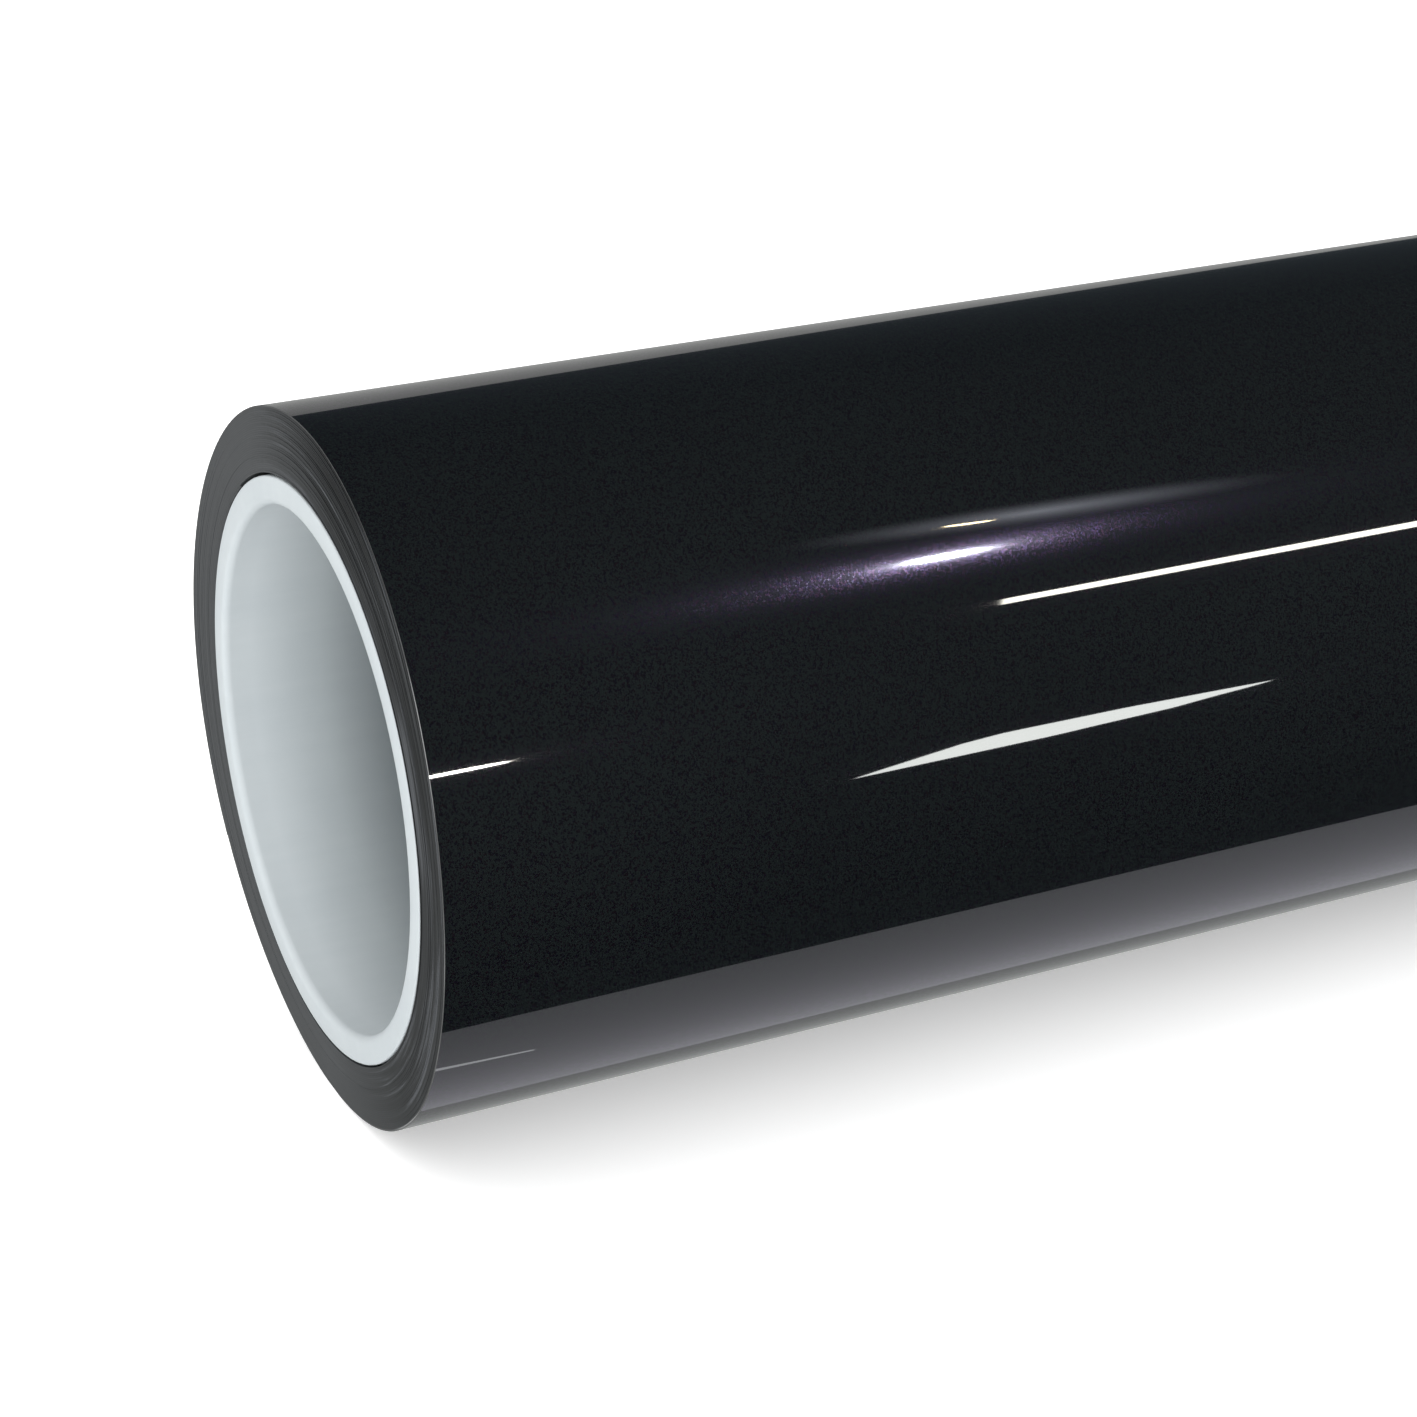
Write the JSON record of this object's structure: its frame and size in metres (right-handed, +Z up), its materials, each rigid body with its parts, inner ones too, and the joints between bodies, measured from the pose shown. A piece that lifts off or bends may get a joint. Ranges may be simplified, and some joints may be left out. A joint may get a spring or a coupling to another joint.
{
  "type": "roll of sign vinyl",
  "caption": "Roll of glossy near-black metallic sign vinyl, wound face out on a white plastic core, with a free tail at the back.",
  "frame": {"origin": "bottom centre of the roll's box, where it rests on a table", "axes": "+X along the roll's axis, +Z up, the tail lies on the +Y side"},
  "size_m": [0.6108, 0.104, 0.1038],
  "materials": {
    "core_plastic": "smooth white extruded plastic",
    "double_sided_tape": "thin amber tape",
    "release_liner": "hazy clear polyester",
    "adhesive": "clear tacky coat",
    "vinyl_film": "near-black film with fine purple and blue metal flake",
    "clear_coat": "high gloss clear coat",
    "closing_tape": "clear tape"
  },
  "bodies": {
    "root": {"core": "core_plastic", "core_tape": "double_sided_tape", "release_liner": "release_liner", "adhesive": "adhesive", "vinyl_film": "vinyl_film", "clear_coat": "clear_coat"},
    "tail_1": {"liner_tail_1": "release_liner", "adhesive_tail_1": "adhesive", "film_tail_1": "vinyl_film", "coat_tail_1": "clear_coat"},
    "tail_2": {"liner_tail_2": "release_liner", "adhesive_tail_2": "adhesive", "film_tail_2": "vinyl_film", "coat_tail_2": "clear_coat"},
    "tail_3": {"liner_tail_3": "release_liner", "adhesive_tail_3": "adhesive", "film_tail_3": "vinyl_film", "coat_tail_3": "clear_coat"},
    "tail_4": {"liner_tail_4": "release_liner", "adhesive_tail_4": "adhesive", "film_tail_4": "vinyl_film", "coat_tail_4": "clear_coat"},
    "tail_5": {"liner_tail_5": "release_liner", "adhesive_tail_5": "adhesive", "film_tail_5": "vinyl_film", "coat_tail_5": "clear_coat", "tail_tape": "closing_tape"}
  },
  "joints": [
    {"name": "tail_lift_1", "type": "hinge", "parent": "root", "child": "tail_1", "pos_m": [0, 0.0299, 0.09451], "axis": [1, 0, 0], "range_deg": [0, 24]},
    {"name": "tail_lift_2", "type": "hinge", "parent": "tail_1", "child": "tail_2", "pos_m": [0, 0.04153, 0.08332], "axis": [1, 0, 0], "range_deg": [0, 24]},
    {"name": "tail_lift_3", "type": "hinge", "parent": "tail_2", "child": "tail_3", "pos_m": [0, 0.04917, 0.06912], "axis": [1, 0, 0], "range_deg": [0, 24]},
    {"name": "tail_lift_4", "type": "hinge", "parent": "tail_3", "child": "tail_4", "pos_m": [0, 0.05211, 0.05325], "axis": [1, 0, 0], "range_deg": [0, 24]},
    {"name": "tail_lift_5", "type": "hinge", "parent": "tail_4", "child": "tail_5", "pos_m": [0, 0.05006, 0.03725], "axis": [1, 0, 0], "range_deg": [0, 24]}
  ],
  "couplings": [
    {"joint": "tail_lift_2", "follows": "tail_lift_1", "ratio": 1},
    {"joint": "tail_lift_3", "follows": "tail_lift_1", "ratio": 1},
    {"joint": "tail_lift_4", "follows": "tail_lift_1", "ratio": 1},
    {"joint": "tail_lift_5", "follows": "tail_lift_1", "ratio": 1}
  ]
}
